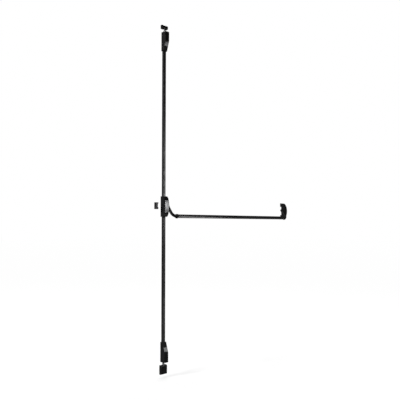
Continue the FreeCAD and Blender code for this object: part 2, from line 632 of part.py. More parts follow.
def lever():
    """The drive lever: a hub on the shaft and a rounded nose in the lower slider's window."""
    x = (LEVER_INNER, f"{LEVER_INNER} + lever_thick")
    hub = bar("x", "lever_hub", x, SHAFT)
    nose = bar("x", "nose_radius", x, (NOSE_Y, NOSE_Z))
    side_y, side_z = "sin(bar_swing / 2)", "cos(bar_swing / 2)"
    blade = plate("lever_blade", "YZ", [
        (f"-pivot_depth - lever_root * {side_y}", f"-lever_root * {side_z}"),
        (f"{NOSE_Y} - lever_tip * {side_y}", f"{NOSE_Z} - lever_tip * {side_z}"),
        (f"{NOSE_Y} + lever_tip * {side_y}", f"{NOSE_Z} + lever_tip * {side_z}"),
        (f"-pivot_depth + lever_root * {side_y}", f"lever_root * {side_z}")], x)
    shaft_way = bar("x", "shaft_radius", ("0", "case_width"), SHAFT)
    pin_way = bar("z", "screw_radius", both("case_width"), LEVER_PIN)
    node("drive_lever", cut(join(hub, nose, blade), shaft_way, pin_way))
    node("lever_pin", bar("z", "screw_radius", both("lever_hub"), LEVER_PIN))


def arm(name, plane_x, side):
    """An elbow arm: flat hub, straight reach, bend towards the bar, and the bar's socket."""
    body = doc.addObject("PartDesign::Body", name + "_elbow")
    path = body.newObject("Sketcher::SketchObject", "path")
    ring = body.newObject("Sketcher::SketchObject", "ring")
    for sketch, turn in ((path, "180"), (ring, "90")):
        sketch.AttachmentSupport = [(origin_plane(body, "XY"), "")]
        sketch.MapMode = "FlatFace"
        sketch.AttachmentOffset = FreeCAD.Placement(FreeCAD.Vector(), FreeCAD.Rotation(X, 90))
        bind(sketch, "AttachmentOffset.Base.y", "-arm_back")
        bind(sketch, "AttachmentOffset.Rotation.Angle", f"{turn} deg + {ARM_ANGLE}")
    across = (plane_x, f"{plane_x} + {side} * bend_radius", f"{plane_x} + {side} * (bend_radius + 3)")
    spots = [(across[0], "0"), (across[0], f"{ARM_LENGTH} - bend_radius"), (across[1], ARM_LENGTH),
             (across[2], ARM_LENGTH)]
    start, bend, turned, finish = [FreeCAD.Vector(value(a), value(b), 0) for a, b in spots]
    quarter = Part.Circle(FreeCAD.Vector(turned.x, bend.y, 0), Z, value("bend_radius"))
    first_turn = math.pi / 2 if side > 0 else 0
    path.addGeometry(Part.LineSegment(start, bend), False)
    path.addGeometry(Part.ArcOfCircle(quarter, first_turn, first_turn + math.pi / 2), False)
    path.addGeometry(Part.LineSegment(turned, finish), False)
    arc_start = 2 if side > 0 else 1
    path.addConstraint(Sketcher.Constraint("Coincident", 0, 2, 1, arc_start))
    path.addConstraint(Sketcher.Constraint("Coincident", 1, 3 - arc_start, 2, 1))
    held_points = ((0, 1), (0, 2), (2, 1), (2, 2))
    for (geometry, point), corner, texts in zip(held_points, (start, bend, turned, finish), spots):
        for kind, size, text in (("DistanceX", corner.x, texts[0]), ("DistanceY", corner.y, texts[1])):
            held = path.addConstraint(Sketcher.Constraint(kind, -1, 1, geometry, point, size))
            bind(path, f"Constraints[{held}]", text)
    held = path.addConstraint(Sketcher.Constraint("Radius", 1, value("bend_radius")))
    bind(path, f"Constraints[{held}]", "bend_radius")
    ring.addGeometry(Part.Circle(FreeCAD.Vector(start.x, 0, 0), Z, value("arm_radius")), False)
    for kind, places, size, text in (("DistanceX", (-1, 1, 0, 3), start.x, plane_x),
                                     ("DistanceY", (-1, 1, 0, 3), 0, "0"),
                                     ("Radius", (0,), value("arm_radius"), "arm_radius")):
        held = ring.addConstraint(Sketcher.Constraint(kind, *places, size))
        bind(ring, f"Constraints[{held}]", text)
    doc.recompute()
    pipe = body.newObject("PartDesign::AdditivePipe", "reach")
    pipe.Profile = ring
    pipe.Spine = path
    body.Tip = pipe

    def along(near, far):
        low, high = f"{plane_x} + {side} * ({near})", f"{plane_x} + {side} * ({far})"
        return (low, high) if side > 0 else (high, low)
    hub_x = along("-arm_radius", "hub_length - arm_radius")
    hub = join(bar("x", "hub_radius", hub_x, SHAFT), bar("x", "hub_radius", hub_x, ("-arm_back", "0")),
               box(hub_x, depth("arm_back", "pivot_depth"), both("hub_radius")))
    root = doc.addObject("Part::Sphere", "root")
    bind(root, "Radius", "arm_radius")
    place(root, plane_x, "-arm_back", "0")
    wide = ("bar_half_depth + socket_wall", "bar_half_height + socket_wall")
    socket = oval("y", *wide, along("bend_radius - 1", "bend_radius + socket_reach"), BAR)
    radii = ("flare_root", "flare_mouth") if side > 0 else ("flare_mouth", "flare_root")
    flare = taper("x", *radii, along("bend_radius - 1 - flare", "bend_radius"), BAR)
    inside = along("bend_radius + 1", "bend_radius + socket_reach + 1")
    bar_way = oval("y", "bar_half_depth", "bar_half_height", inside, BAR)
    shaft_way = bar("x", "shaft_radius", along("-arm_radius - 1", "hub_length - arm_radius - 1"), SHAFT)
    hub_spot = (f"{plane_x} + {side} * (hub_length / 2 - arm_radius)", "0")
    grub_way = bar("y", "grub_radius", depth("pivot_depth", "pivot_depth + hub_radius + 1"), hub_spot)
    bar_grub = (f"{plane_x} + {side} * (bend_radius + socket_reach / 2)", "-bar_depth")
    under = "-bar_drop - bar_half_height"
    lower_way = bar("z", "grub_radius", (f"{under} - socket_wall - 1", "-bar_drop"), bar_grub)
    node(name, cut(join(body, root, hub, socket, flare), bar_way, shaft_way, grub_way, lower_way))
    hub_depth = depth("pivot_depth + shaft_radius", "pivot_depth + hub_radius - 0.5")
    hub_grub = grub("y", hub_depth, hub_spot)
    socket_grub = grub("z", (f"{under} - socket_wall + 0.5", f"{under} - running"), bar_grub)
    return hub_grub, socket_grub


def push_bar():
    hub_one, socket_one = arm("active_arm", ARM_PLANE, 1)
    hub_two, socket_two = arm("passive_arm", PASSIVE_PLANE, -1)
    node("arm_grub_screws", group(hub_one, hub_two))
    node("bar_grub_screws", group(socket_one, socket_two))
    ends = (f"{ARM_PLANE} + bend_radius + 1 + running", f"{PASSIVE_PLANE} - bend_radius - 1 - running")
    outer = oval("y", "bar_half_depth - running", "bar_half_height - running", ends, BAR)
    inner = oval("y", "bar_half_depth - bar_wall", "bar_half_height - bar_wall",
                 (f"{ends[0]} - 1", f"{ends[1]} + 1"), BAR)
    node("push_bar", cut(outer, inner))
    shaft_end = "(hub_length - arm_radius - 1 - running)"
    shaft = bar("x", "shaft_radius", (f"-{CHASSIS_HALF}", f"{ARM_PLANE} + {shaft_end}"), SHAFT)
    pin_way = bar("z", "screw_radius", both("case_width"), LEVER_PIN)
    node("active_shaft", cut(shaft, pin_way))
    passive_ends = (f"{PASSIVE_PLANE} - {shaft_end}", f"passive_x + {PASSIVE_CHASSIS_HALF}")
    node("passive_shaft", bar("x", "shaft_radius", passive_ends, SHAFT))


def rod_covers():
    for name, side, end in (("upper", 1, "top"), ("lower", -1, "bottom")):
        z = outward(side, f"{CASE_HALF} - cover_wall", f"{end}_start + cover_wall + cover_lap")
        outer = box(both("rod_cover_width / 2"), depth("0", "rod_cover_depth"), z)
        inner = box(both("rod_cover_width / 2 - rod_cover_wall"),
                    depth("-1", "rod_cover_depth - rod_cover_wall"), (f"{z[0]} - 1", f"{z[1]} + 1"))
        node(f"{name}_rod_cover", cut(outer, inner))
        guides = []
        for share in ("0.25", "0.5", "0.75"):
            low = f"({COUPLING_START} + ({end}_start - {COUPLING_START}) * {share})"
            half = "rod_cover_width / 2 - rod_cover_wall - slide_gap"
            block = box(both(half), depth("0", "rod_cover_depth - rod_cover_wall - slide_gap"),
                        outward(side, low, f"{low} + guide_height"))
            foot = box(both(half), depth("0", "foot_thick"),
                       outward(side, low, f"{low} + guide_height + guide_foot"))
            way = bar("z", "rod_radius + slide_gap / 2",
                      outward(side, f"{low} - 1", f"{low} + guide_height + 1"), ROD)
            hole = bar("y", "guide_hole", depth("-1", "foot_thick + 1"),
                       ("0", f"{side} * ({low} + guide_height + guide_foot / 2)"))
            guides.append(cut(join(block, foot), way, hole))
        node(f"{name}_rod_guides", group(*guides))


def bolt_case(end, side):
    """One rod end: base plate, bolt guide, spring and its seat, sloped cover and its insert."""
    start = f"{end}_start"
    finish = f"({end}_start + bolt_case_height)"
    lean = "((bolt_case_depth - bolt_case_end_depth) / slope_length)"
    half = "bolt_case_width / 2"

    def sloped(inset, grow):
        low = f"{start} + ({inset})"
        front = f"(bolt_case_depth - ({inset}))"
        near = f"(bolt_case_end_depth - ({inset}))"
        points = [(grow, low), (f"-{near}", low), (f"-{front}", f"{low} + slope_length"),
                  (f"-{front}", f"{finish} - ({inset})"), (grow, f"{finish} - ({inset})")]
        points = [(y, f"{side} * ({z})") for y, z in points]
        return plate(f"{end}_side", "YZ", points, both(f"{half} - ({inset})"))

    def slope_panel(wide, inner):
        points = []
        for z, rise in (("bolt_insert_low", "insert_proud"), ("bolt_insert_high", "insert_proud"),
                        ("bolt_insert_high", f"-({inner})"), ("bolt_insert_low", f"-({inner})")):
            at = f"({z} + ({wide}))" if z.endswith("high") else f"({z} - ({wide}))"
            skin = f"(bolt_case_end_depth + {lean} * {at})"
            points.append((f"-({skin} + {rise})", f"{side} * ({start} + {at})"))
        return plate(f"{end}_panel", "YZ", points, both(f"{half} - insert_rim + ({wide})"))

    outer = sloped("0", "0")
    shoulder = outer.Tip
    doc.recompute()
    foremost = -value("bolt_case_depth")
    edges = [f"Edge{index}" for index, edge in enumerate(shoulder.Shape.Edges, start=1)
             if abs(edge.CenterOfMass.x) < TINY and edge.CenterOfMass.y < foremost + TINY]
    rounding = outer.newObject("PartDesign::Fillet", "rounding")
    rounding.Base = (shoulder, edges)
    bind(rounding, "Radius", "bolt_case_round")
    outer.Tip = rounding
    rod_way = box(both("rod_cover_width / 2 + gap"), depth("-1", "rod_cover_depth + gap"),
                  outward(side, f"{start} - 1", f"{start} + cover_wall + cover_lap + 1"))
    bolt_way = bar("z", BOLT_WAY, outward(side, f"{finish} - 2 * cover_wall", f"{finish} + 1"), ROD)
    screw_spot = ("-case_screw_depth", f"{side} * ({finish} - case_screw_inset)")
    screw_way = bar("x", "screw_radius + gap", ("0", "case_width"), screw_spot)
    node(f"{end}_cover", cut(outer, sloped("cover_wall", "1"), rod_way, bolt_way,
                             slope_panel("slide_gap / 2", "insert_thick"), screw_way))
    node(f"{end}_insert", slope_panel("0", "insert_thick - slide_gap / 2"))
    plate_half = f"{half} - cover_wall - slide_gap"
    base = box(both(plate_half), depth("0", "web"),
               outward(side, f"{start} + cover_wall + cover_lap + slide_gap",
                       f"{finish} - cover_wall - slide_gap"))
    lug = box((f"{plate_half} - 2", plate_half), depth("web / 2", "case_screw_depth + 4"),
              outward(side, f"{finish} - case_screw_inset - 4", f"{finish} - case_screw_inset + 4"))
    holes = [bar("y", "fixing_radius", depth("-1", "web + 1"), (x, f"{side} * ({finish} - {inset})"))
             for x in ("-fixing_x", "fixing_x") for inset in ("end_hole_near", "end_hole_far")]
    lug_way = bar("x", "screw_radius", ("0", "case_width"), screw_spot)
    node(f"{end}_base_plate", cut(join(base, lug), *holes, lug_way))
    block_end = f"{finish} - cover_wall - slide_gap"
    block = box(both("bolt_block_half"), depth("web", "rod_axis + bolt_radius + 3"),
                outward(side, f"{block_end} - bolt_block", block_end))
    way_ends = outward(side, f"{finish} - 2 * bolt_block", f"{finish} + 1")
    way = bar("z", "bolt_radius + running", way_ends, ROD)
    node(f"{end}_bolt_guide", cut(block, way))
    seat_z = f"({strike_start(end)} + bolt_entry - bolt_length - bolt_spring)"
    seat = box(both("bolt_block_half"), depth("web", "rod_axis + bolt_radius + 1"),
               outward(side, f"{seat_z} - seat_height", seat_z))
    seat_way = bar("z", "rod_radius + slide_gap / 2",
                   outward(side, f"{seat_z} - seat_height - 1", f"{seat_z} + 1"), ROD)
    node(f"{end}_spring_seat", cut(seat, seat_way))
    spring_ends = outward(side, f"{seat_z} + running", f"{seat_z} + bolt_spring - running")
    node(f"{end}_bolt_spring", sleeve("z", "bolt_spring_radius", "rod_radius + slide_gap",
                                      spring_ends, ROD))


def passive_case():
    """The hinge side's case: a chassis, two bushes and a spring under a domed cover.

    The cover's side towards the bar is open by the door, and the chassis stands back from there.
    """
    middle, half = "passive_x", PASSIVE_CHASSIS_HALF
    cover = shell("passive_width", "passive_height", "passive_end_depth", "passive_depth", middle,
                  "passive_z")
    shaft_way = bar("x", "shaft_radius + 2", (f"{middle} - passive_width", middle), SHAFT)
    beside = (f"{middle} - passive_width", f"{middle} - passive_near_wall")
    notch = box(beside, depth("-1", "notch_depth"), ("passive_z - notch_low", "passive_z + notch_high"))
    screw_ways = [bar("x", "screw_radius + gap", (middle, f"{middle} + passive_width"), ("-rod_axis", z))
                  for z in both("passive_screw_z")]
    node("passive_cover", cut(cover, shaft_way, notch, *screw_ways))
    holes = [(x, z) for x in about(middle, "fixing_x") for z in about("passive_z", "passive_fixing_z")]
    web_z = about("passive_z", "passive_height / 2 - cover_wall - slide_gap")
    chassis = channel(middle, "passive_near_wall", half, web_z, "passive_wall_half", "passive_screw_z",
                      holes)
    node("passive_chassis", cut(chassis, notch))
    node("passive_bushes", bushes(middle, "passive_near_wall", half))
    ends = (f"{middle} - passive_near_wall + chassis_wall + gap", f"{middle} + {half} - chassis_wall - gap")
    node("passive_return_spring", sleeve("x", *RETURN_SPRING, ends, SHAFT))


def strikes():
    for end, side in (("top", 1), ("bottom", -1)):
        near = strike_start(end)
        z = outward(side, near, f"{near} + {end}_strike_height")
        block = rounded_front(both(f"{end}_strike_width / 2"), "strike_depth", z, "strike_round")
        pocket_z = outward(side, f"{near} - 1", f"{near} + bolt_entry + pocket_extra")
        pocket = bar("z", BOLT_WAY, pocket_z, ROD)
        hole_z = f"{side} * ({near} + {end}_strike_height / 2)"
        holes = [bar("y", "fixing_radius", ("-case_depth", "1"), (x, hole_z))
                 for x in ("-strike_hole_x", "strike_hole_x")]
        node(f"{end}_strike", cut(block, pocket, *holes))
    z = about("side_strike_z", "side_strike_height / 2")
    body = rounded_front(about("side_strike_x", "side_strike_width / 2"), "side_strike_depth", z,
                         "side_strike_round")
    edge = "(side_strike_x + side_strike_width / 2)"
    keep = box((f"{edge} - keep_width", "0"), depth("keep_floor", "case_depth"),
               about("latch_z", "keep_height / 2"))
    hole_x = "side_strike_x - side_strike_width / 4"
    holes = [bar("y", "guide_hole", ("-case_depth", "1"), (hole_x, f"side_strike_z + {z_off}"))
             for z_off in ("-side_hole_z", "side_hole_z")]
    node("side_strike", cut(body, keep, *holes))
    wear_depth = depth("keep_floor", "keep_floor + wear_plate")
    node("side_strike_wear_plate", box((f"{edge} - keep_width + running", edge), wear_depth,
                                       about("latch_z", "keep_height / 2 - running")))


centre_case()
cover_screws()
centre_chassis()
slider_guide()
side_latch()
lower_parts()
upper_parts()
pinion()
lever()
push_bar()
rod_covers()
bolt_case("top", 1)
bolt_case("bottom", -1)
passive_case()
strikes()
doc.recompute()

faults = [f"{item.Label}: {item.State} {item.getStatusString()}" for item in doc.Objects
          if {"Invalid", "Error"} & set(item.State)]
for name, item in NODES.items():
    if item.Shape.isNull() or not item.Shape.isValid() or not item.Shape.Solids:
        faults.append(f"{name}: no valid solid")
if faults:
    raise RuntimeError("; ".join(faults))

os.makedirs("parts", exist_ok=True)
for name, item in NODES.items():
    item.Shape.exportStep(f"parts/{name}.step")
    print(f"{name}: {len(item.Shape.Solids)} solids, {item.Shape.Volume:.0f} mm3")
print(f"travel of the rods {value(TRAVEL):.3f} mm")
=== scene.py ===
import json
import math

import bmesh
import bpy
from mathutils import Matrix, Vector

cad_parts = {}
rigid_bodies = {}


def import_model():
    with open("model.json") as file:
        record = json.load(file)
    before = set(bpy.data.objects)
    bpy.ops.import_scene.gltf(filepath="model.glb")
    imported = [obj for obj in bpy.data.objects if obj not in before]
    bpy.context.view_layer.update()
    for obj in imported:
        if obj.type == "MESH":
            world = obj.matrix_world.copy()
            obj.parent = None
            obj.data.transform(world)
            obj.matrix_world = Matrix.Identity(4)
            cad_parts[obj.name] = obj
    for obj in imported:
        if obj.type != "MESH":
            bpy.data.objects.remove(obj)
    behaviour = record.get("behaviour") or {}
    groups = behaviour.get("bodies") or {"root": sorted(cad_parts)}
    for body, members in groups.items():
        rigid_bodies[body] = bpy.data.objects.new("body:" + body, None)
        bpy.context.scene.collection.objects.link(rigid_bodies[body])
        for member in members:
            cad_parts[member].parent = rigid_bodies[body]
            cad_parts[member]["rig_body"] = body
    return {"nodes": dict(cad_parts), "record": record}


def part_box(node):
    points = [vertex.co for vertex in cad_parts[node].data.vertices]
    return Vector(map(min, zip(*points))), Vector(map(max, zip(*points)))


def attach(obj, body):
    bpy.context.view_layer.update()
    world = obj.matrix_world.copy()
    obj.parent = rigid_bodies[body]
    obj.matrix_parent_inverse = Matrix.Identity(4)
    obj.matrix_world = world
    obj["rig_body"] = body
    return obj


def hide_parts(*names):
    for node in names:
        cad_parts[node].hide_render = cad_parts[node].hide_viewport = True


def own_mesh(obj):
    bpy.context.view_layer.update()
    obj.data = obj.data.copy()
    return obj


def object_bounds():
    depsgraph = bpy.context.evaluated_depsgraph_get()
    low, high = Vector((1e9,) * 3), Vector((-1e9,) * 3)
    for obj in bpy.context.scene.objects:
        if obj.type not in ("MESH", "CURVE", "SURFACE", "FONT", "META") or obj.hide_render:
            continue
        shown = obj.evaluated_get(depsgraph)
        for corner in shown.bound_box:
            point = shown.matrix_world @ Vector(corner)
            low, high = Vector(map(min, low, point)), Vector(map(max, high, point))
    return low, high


# Looks of the panic bar: finishes, rounded edges, coil springs, lights and the photograph's camera.
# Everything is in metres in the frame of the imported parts.

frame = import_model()
cad_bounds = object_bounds()

MM = 0.001
FOOT = cad_bounds[0][2]
WHITE = (1, 1, 1, 1)

# Colours, as linear values
BLACK_PLASTIC = (0.009, 0.009, 0.0094)
BLACK_ANODISED = (0.0065, 0.0065, 0.0068)
BLACK_PAINT = (0.008, 0.008, 0.0084)
BLACK_CAST = (0.005, 0.005, 0.0052)
SILVER = (0.25, 0.252, 0.256)
ZINC = (0.13, 0.132, 0.136)
BRIGHT = (0.22, 0.22, 0.225)
DARK_STEEL = (0.03, 0.03, 0.0315)
BRASS = (0.60, 0.42, 0.16)
DARK_GREY = (0.06, 0.06, 0.065)


def link(tree, start, end):
    tree.links.new(start, end)


def new_material(name, colour, roughness, metallic=0.0, gloss=0.5):
    material = bpy.data.materials.new(name)
    material.use_nodes = True
    shader = material.node_tree.nodes["Principled BSDF"]
    shader.inputs["Base Color"].default_value = (*colour, 1)
    shader.inputs["Roughness"].default_value = roughness
    shader.inputs["Metallic"].default_value = metallic
    shader.inputs["Specular IOR Level"].default_value = gloss
    return material, material.node_tree, shader


# A noise's turns along each axis: alike all round, or drawn out into lines
EVEN = (1, 1, 1)
ALONG_Z = (1, 1, 0.02)

# The part of a noise's range that a colour or roughness runs over
NOISE_LOW = 0.3
NOISE_HIGH = 0.7


def place_noise(tree, scale, detail, stretch=EVEN):
    """Noise in the object's own space, in turns per metre, drawn out along an axis by stretch."""
    where = tree.nodes.new("ShaderNodeTexCoord")
    mapping = tree.nodes.new("ShaderNodeMapping")
    mapping.inputs["Scale"].default_value = stretch
    noise = tree.nodes.new("ShaderNodeTexNoise")
    noise.inputs["Scale"].default_value = scale
    noise.inputs["Detail"].default_value = detail
    link(tree, where.outputs["Object"], mapping.inputs["Vector"])
    link(tree, mapping.outputs["Vector"], noise.inputs["Vector"])
    return noise.outputs["Fac"]


def spread(tree, source, low, high):
    """A value that runs between two limits with a noise."""
    span = tree.nodes.new("ShaderNodeMapRange")
    span.inputs["From Min"].default_value = NOISE_LOW
    span.inputs["From Max"].default_value = NOISE_HIGH
    span.inputs["To Min"].default_value = low
    span.inputs["To Max"].default_value = high
    link(tree, source, span.inputs["Value"])
    return span.outputs["Result"]


def tint(tree, source, first, second):
    """A colour that runs between two shades with a noise."""
    ramp = tree.nodes.new("ShaderNodeValToRGB")
    for stop, place, colour in zip(ramp.color_ramp.elements, (NOISE_LOW, NOISE_HIGH), (first, second)):
        stop.position = place
        stop.color = (*colour, 1)
    link(tree, source, ramp.inputs["Fac"])
    return ramp.outputs["Color"]


def bump(tree, shader, source, strength, height):
    raised = tree.nodes.new("ShaderNodeBump")
    raised.inputs["Strength"].default_value = strength
    raised.inputs["Distance"].default_value = height
    link(tree, source, raised.inputs["Height"])
    link(tree, raised.outputs["Normal"], shader.inputs["Normal"])


def shade(colour, share):
    return tuple(channel * share for channel in colour)


def vary(tree, shader, shades, colour, darkest, lightest):
    """The colour runs from its darkest to its lightest share with a noise."""
    run = tint(tree, shades, shade(colour, darkest), shade(colour, lightest))
    link(tree, run, shader.inputs["Base Color"])


def wear(tree, shader, patches, roughness, polished, dulled):
    """The roughness runs from polished below to dulled above its middle with a noise."""
    run = spread(tree, patches, roughness - polished, roughness + dulled)
    link(tree, run, shader.inputs["Roughness"])


def moulded(name, colour, roughness, gloss, patch_scale=14.0, lightest=1.2):
    """Fine-grained moulded or powder-like black, with soft patches of wear in its gloss."""
    material, tree, shader = new_material(name, colour, roughness, gloss=gloss)
    patches = place_noise(tree, patch_scale, detail=4.0)
    grain = place_noise(tree, scale=1000.0, detail=2.0)
    vary(tree, shader, patches, colour, darkest=0.85, lightest=lightest)
    wear(tree, shader, patches, roughness, polished=0.05, dulled=0.07)
    bump(tree, shader, grain, strength=0.5, height=0.12 * MM)
    return material


def painted(name, colour, roughness, gloss):
    """Smooth paint with a faint orange peel."""
    material, tree, shader = new_material(name, colour, roughness, gloss=gloss)
    patches = place_noise(tree, scale=9.0, detail=3.0)
    peel = place_noise(tree, scale=420.0, detail=1.0)
    vary(tree, shader, patches, colour, darkest=0.9, lightest=1.15)
    wear(tree, shader, patches, roughness, polished=0.03, dulled=0.05)
    bump(tree, shader, peel, strength=0.12, height=0.05 * MM)
    return material


def drawn(name, colour, roughness, stretch, metallic=1.0, gloss=0.5):
    """Metal, or a dyed coat on it, with fine lines along the way it was drawn or rolled."""
    material, tree, shader = new_material(name, colour, roughness, metallic, gloss)
    lines = place_noise(tree, scale=900.0, detail=3.0, stretch=stretch)
    patches = place_noise(tree, scale=20.0, detail=2.0)
    vary(tree, shader, lines, colour, darkest=0.88, lightest=1.06)
    wear(tree, shader, patches, roughness, polished=0.05, dulled=0.08)
    bump(tree, shader, lines, strength=0.2, height=0.02 * MM)
    return material


LOOKS = {
    "cover_black": moulded("cover_black", BLACK_PLASTIC, 0.4, 0.02),
    "insert_silver": drawn("insert_silver", SILVER, 0.45, ALONG_Z),
    # The top and bottom inserts: the same silver drawn darker, as painted shade
    "insert_painted_darker": drawn("insert_painted_darker", shade(SILVER, 0.45), 0.5, ALONG_Z),
    "rod_cover_black": drawn("rod_cover_black", BLACK_ANODISED, 0.3, ALONG_Z, 0.0, 0.2),
    "bar_black": painted("bar_black", BLACK_PAINT, 0.2, 0.2),
    "arm_black": painted("arm_black", BLACK_PAINT, 0.34, 0.06),
    "strike_black": moulded("strike_black", BLACK_CAST, 0.3, 0.1),
    "plate_steel": drawn("plate_steel", ZINC, 0.38, ALONG_Z),
    "bright_steel": drawn("bright_steel", BRIGHT, 0.3, ALONG_Z),
    "screw_black": drawn("screw_black", DARK_GREY, 0.4, EVEN, 0.6),
    "screw_steel": drawn("screw_steel", ZINC, 0.35, EVEN),
    "spring_steel": drawn("spring_steel", ZINC, 0.35, EVEN),
    "bush_brass": drawn("bush_brass", BRASS, 0.3, EVEN),
    "guide_nylon": moulded("guide_nylon", DARK_GREY, 0.5, 0.3),
    # The side strike's wear plate: steel drawn far darker than the other steel, as painted shade that dims
    # its reflection of the front lamp
    "wear_plate_darkened_steel": drawn("wear_plate_darkened_steel", DARK_STEEL, 0.45, ALONG_Z),
}

# How the rounded edges of a look are drawn lighter, in patches: partly rubbed wear and partly a painted
# highlight along the edges
WEAR_AND_HIGHLIGHT_PATCHES = 70.0
EDGE_LOOKS = {
    "cover_black": moulded("cover_edge", BLACK_PLASTIC, 0.34, 0.06, WEAR_AND_HIGHLIGHT_PATCHES, 5.0),
    "rod_cover_black": moulded("rod_cover_edge", BLACK_ANODISED, 0.3, 0.16, WEAR_AND_HIGHLIGHT_PATCHES, 3.0),
    "arm_black": moulded("arm_edge", BLACK_PAINT, 0.32, 0.1, WEAR_AND_HIGHLIGHT_PATCHES, 5.0),
    "strike_black": moulded("strike_edge", BLACK_CAST, 0.28, 0.15, WEAR_AND_HIGHLIGHT_PATCHES, 12.0),
    "insert_silver": drawn("insert_edge", shade(SILVER, 1.5), 0.35, EVEN),
    "insert_painted_darker": drawn("darker_insert_edge", shade(SILVER, 0.9), 0.4, EVEN),
    "bright_steel": drawn("steel_edge", shade(BRIGHT, 1.4), 0.28, EVEN),
}

SLOT_OF = {part["node"]: part["material_slot"] for part in frame["record"]["subparts"]}
# The top and bottom inserts take the darker copy of the silver, as painted shade
# The wear plate takes the darkened steel, as painted shade
LOOK_OF = {**SLOT_OF, "side_strike_wear_plate": "wear_plate_darkened_steel",
           "top_insert": "insert_painted_darker", "bottom_insert": "insert_painted_darker"}


def dress(item, look):
    item.data.materials.clear()
    item.data.materials.append(LOOKS[look])


for name, item in frame["nodes"].items():
    dress(item, LOOK_OF[name])


# Nodes whose sharp edges get a small rounding: the rounding's width in millimetres
ROUNDED = {
    "centre_cover": 1.2, "top_cover": 1.2, "bottom_cover": 1.2, "passive_cover": 1.2,
    "upper_rod_cover": 0.8, "lower_rod_cover": 0.8, "active_arm": 0.8, "passive_arm": 0.8,
    "top_strike": 0.8, "bottom_strike": 0.8, "side_strike": 0.8,
    "centre_insert": 0.3, "top_insert": 0.3, "bottom_insert": 0.3,
    "top_bolt": 0.4, "bottom_bolt": 0.4, "latch_bolt": 0.4,
}

# Edges sharper than this are rounded; flatter ones than FLAT_ANGLE are merged into one face
SHARP_ANGLE = math.radians(32)
FLAT_ANGLE = math.radians(0.5)
SAME_PLACE = 0.002 * MM
ROUNDING_STEPS = 3
FLATS_WEIGHT = 80
EDGE_SLOT = 1


def add_object(name, data):
    item = bpy.data.objects.new(name, data)
    bpy.context.scene.collection.objects.link(item)
    return item


def stand_for(piece, name):
    """The piece takes a node's place, hiding the node, and moves with its body."""
    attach(piece, frame["nodes"][name]["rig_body"])
    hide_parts(name)


def rounded_copy(name, width):
    """A piece in place of a node, of the same shape with its sharp edges rounded."""
    source = frame["nodes"][name]
    mesh = source.data.copy()
    form = bmesh.new()
    form.from_mesh(mesh)
    bmesh.ops.remove_doubles(form, verts=form.verts, dist=SAME_PLACE)
    bmesh.ops.dissolve_limit(form, angle_limit=FLAT_ANGLE, verts=form.verts, edges=form.edges)
    form.to_mesh(mesh)
    form.free()
    piece = add_object(name + "_shape", mesh)
    edge = piece.modifiers.new("rounding", "BEVEL")
    edge.width = width * MM
    edge.segments = ROUNDING_STEPS
    edge.limit_method = "ANGLE"
    edge.angle_limit = SHARP_ANGLE
    edge.use_clamp_overlap = True
    for face in mesh.polygons:
        face.use_smooth = True
    flats = piece.modifiers.new("flats", "WEIGHTED_NORMAL")
    flats.weight = FLATS_WEIGHT
    dress(piece, LOOK_OF[name])
    # The rounding takes the lighter edge look: partly wear, partly a painted highlight
    piece.data.materials.append(EDGE_LOOKS[LOOK_OF[name]])
    edge.material = EDGE_SLOT
    stand_for(piece, name)


for name, width in ROUNDED.items():
    rounded_copy(name, width)


# Coil springs: the way each lies, its wire's thickness in millimetres and its turns
COILS = {
    "top_bolt_spring": ("z", 1.2, 9), "bottom_bolt_spring": ("z", 1.2, 9), "latch_spring": ("x", 0.6, 14),
    "centre_return_spring": ("x", 1.2, 11), "passive_return_spring": ("x", 1.2, 8),
}
STEPS_A_TURN = 24
WIRE_SIDES = 8
CLOSE_PITCH = 1.04
WAYS = "xyz"


def climb(turn, turns, wire, length):
    """How far along a coil a turn lies; its first and last turns lie close to their neighbours."""
    close = wire * CLOSE_PITCH
    open_turns = turns - 2
    open_pitch = (length - 2 * close) / open_turns
    middle = min(max(turn - 1, 0), open_turns)
    return min(turn, 1) * close + middle * open_pitch + max(turn - turns + 1, 0) * close


def coil(name, way, wire, turns):
    """A piece in place of a spring's node: one round wire wound in the same space."""
    low, high = (Vector(corner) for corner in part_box(name))
    along = WAYS.index(way)
    across, over = [index for index in range(3) if index != along]
    middle = (low + high) / 2
    radius = (high - low)[across] / 2 - wire / 2
    length = (high - low)[along] - wire
    form = bmesh.new()
    rings = []
    for step in range(turns * STEPS_A_TURN + 1):
        turn = step / STEPS_A_TURN
        height = low[along] + wire / 2 + climb(turn, turns, wire, length)
        ring = []
        for side in range(WIRE_SIDES):
            round_wire = math.tau * side / WIRE_SIDES
            reach = radius + wire / 2 * math.cos(round_wire)
            place = Vector()
            place[across] = middle[across] + reach * math.cos(math.tau * turn)
            place[over] = middle[over] + reach * math.sin(math.tau * turn)
            place[along] = height + wire / 2 * math.sin(round_wire)
            ring.append(form.verts.new(place))
        rings.append(ring)
    for ring, following in zip(rings, rings[1:]):
        for side in range(WIRE_SIDES):
            corner = (side + 1) % WIRE_SIDES
            form.faces.new((ring[side], ring[corner], following[corner], following[side])).smooth = True
    form.faces.new(rings[0])
    form.faces.new(rings[-1])
    bmesh.ops.recalc_face_normals(form, faces=form.faces)
    mesh = bpy.data.meshes.new(name + "_coil")
    form.to_mesh(mesh)
    form.free()
    piece = add_object(name + "_coil", mesh)
    dress(piece, LOOK_OF[name])
    stand_for(piece, name)
    return piece


def squeeze(piece, spring):
    """The spring's piece gets a mesh of its own; the axis and fixed end worked out here are not applied to
    it.
    """
    way = spring["mode"][-1]
    along = WAYS.index(way)
    axis, anchor = Vector(), Vector()
    axis[along] = 1
    anchor[along] = spring[f"fixed_end_{way}_m"]
    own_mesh(piece)


coils = {name: coil(name, way, wire * MM, turns) for name, (way, wire, turns) in COILS.items()}
for joint in frame["record"]["behaviour"]["joints"]:
    for spring in joint.get("deforming_nodes", []):
        squeeze(coils[spring["node"]], spring)


